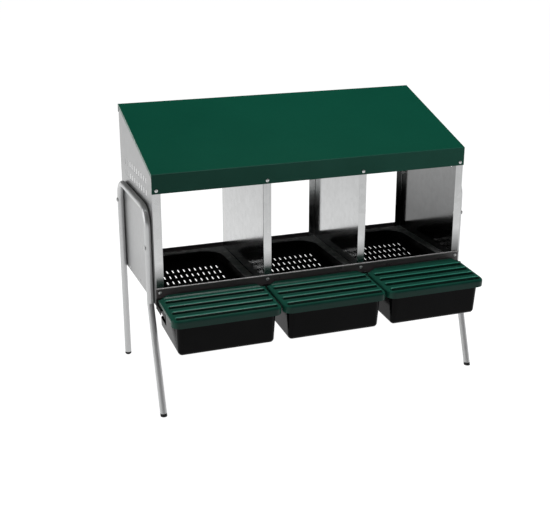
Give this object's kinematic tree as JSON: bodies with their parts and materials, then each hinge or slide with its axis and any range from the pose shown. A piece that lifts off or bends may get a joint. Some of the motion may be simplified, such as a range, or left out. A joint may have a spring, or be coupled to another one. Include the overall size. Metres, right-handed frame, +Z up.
{
  "type": "roll out nest box",
  "caption": "Poultry nest box of galvanised sheet on bent tube legs, with a green sloping roof, slotted sloping trays and lidded tubs in front that catch the rolling eggs.",
  "frame": {"origin": "on the floor under the middle of the whole box's outline", "axes": "+Z up, +X to the right of someone facing the tubs, -Y towards the front, where the tubs are"},
  "size_m": [1.0478, 0.5876, 0.8401],
  "materials": {
    "galvanised_sheet": "smooth galvanised sheet, softly mirroring",
    "galvanised_strip": "galvanised",
    "green_paint": "satin baked paint",
    "zinc_fastener": "zinc plated",
    "black_fastener": "blackened steel",
    "dark_rail": "dark satin paint",
    "black_steel": "black paint",
    "leg_tube": "galvanised tube",
    "foot_rubber": "matt",
    "tray_plastic": "black, lightly grained",
    "tub_plastic": "black, glossy",
    "green_plastic": "dark green, satin"
  },
  "bodies": {
    "box": {"left_side_panel": "galvanised_sheet", "right_side_panel": "galvanised_sheet", "left_divider": "galvanised_sheet", "right_divider": "galvanised_sheet", "left_nest_ledges": "galvanised_strip", "middle_nest_ledges": "galvanised_strip", "right_nest_ledges": "galvanised_strip", "roof": "green_paint", "fascia_screws": "zinc_fastener", "rear_roof_screws": "zinc_fastener", "rail_screws": "black_fastener", "rear_rail_screws": "black_fastener", "arm_screws": "black_fastener", "leg_bolts": "zinc_fastener", "leg_nuts": "zinc_fastener", "ledge_rivets": "zinc_fastener", "front_rail": "dark_rail", "rear_rail": "dark_rail", "left_tub_arm": "black_steel", "left_middle_tub_arm": "black_steel", "right_middle_tub_arm": "black_steel", "right_tub_arm": "black_steel", "left_leg_frame": "leg_tube", "right_leg_frame": "leg_tube", "foot_caps": "foot_rubber"},
    "left_tub": {"left_egg_tub": "tub_plastic", "left_lid_pins": "zinc_fastener"},
    "left_lid": {"left_tub_lid": "green_plastic"},
    "left_tray": {"left_nest_tray": "tray_plastic"},
    "middle_tub": {"middle_egg_tub": "tub_plastic", "middle_lid_pins": "zinc_fastener"},
    "middle_lid": {"middle_tub_lid": "green_plastic"},
    "middle_tray": {"middle_nest_tray": "tray_plastic"},
    "right_tub": {"right_egg_tub": "tub_plastic", "right_lid_pins": "zinc_fastener"},
    "right_lid": {"right_tub_lid": "green_plastic"},
    "right_tray": {"right_nest_tray": "tray_plastic"}
  },
  "joints": [
    {"name": "left_tub_slide", "type": "slide", "parent": "box", "child": "left_tub", "axis": [0, -0.9976, -0.0698], "range_m": [0, 0.09]},
    {"name": "left_lid_hinge", "type": "hinge", "parent": "left_tub", "child": "left_lid", "pos_m": [-0.333, -0.13819, 0.334], "axis": [-1, 0, 0], "range_deg": [0, 96]},
    {"name": "left_tray_lift", "type": "slide", "parent": "box", "child": "left_tray", "axis": [0, 0, 1], "range_m": [0, 0.12]},
    {"name": "middle_tub_slide", "type": "slide", "parent": "box", "child": "middle_tub", "axis": [0, -0.9976, -0.0698], "range_m": [0, 0.09]},
    {"name": "middle_lid_hinge", "type": "hinge", "parent": "middle_tub", "child": "middle_lid", "pos_m": [0, -0.13819, 0.334], "axis": [-1, 0, 0], "range_deg": [0, 96]},
    {"name": "middle_tray_lift", "type": "slide", "parent": "box", "child": "middle_tray", "axis": [0, 0, 1], "range_m": [0, 0.12]},
    {"name": "right_tub_slide", "type": "slide", "parent": "box", "child": "right_tub", "axis": [0, -0.9976, -0.0698], "range_m": [0, 0.09]},
    {"name": "right_lid_hinge", "type": "hinge", "parent": "right_tub", "child": "right_lid", "pos_m": [0.333, -0.13819, 0.334], "axis": [-1, 0, 0], "range_deg": [0, 96]},
    {"name": "right_tray_lift", "type": "slide", "parent": "box", "child": "right_tray", "axis": [0, 0, 1], "range_m": [0, 0.12]}
  ]
}
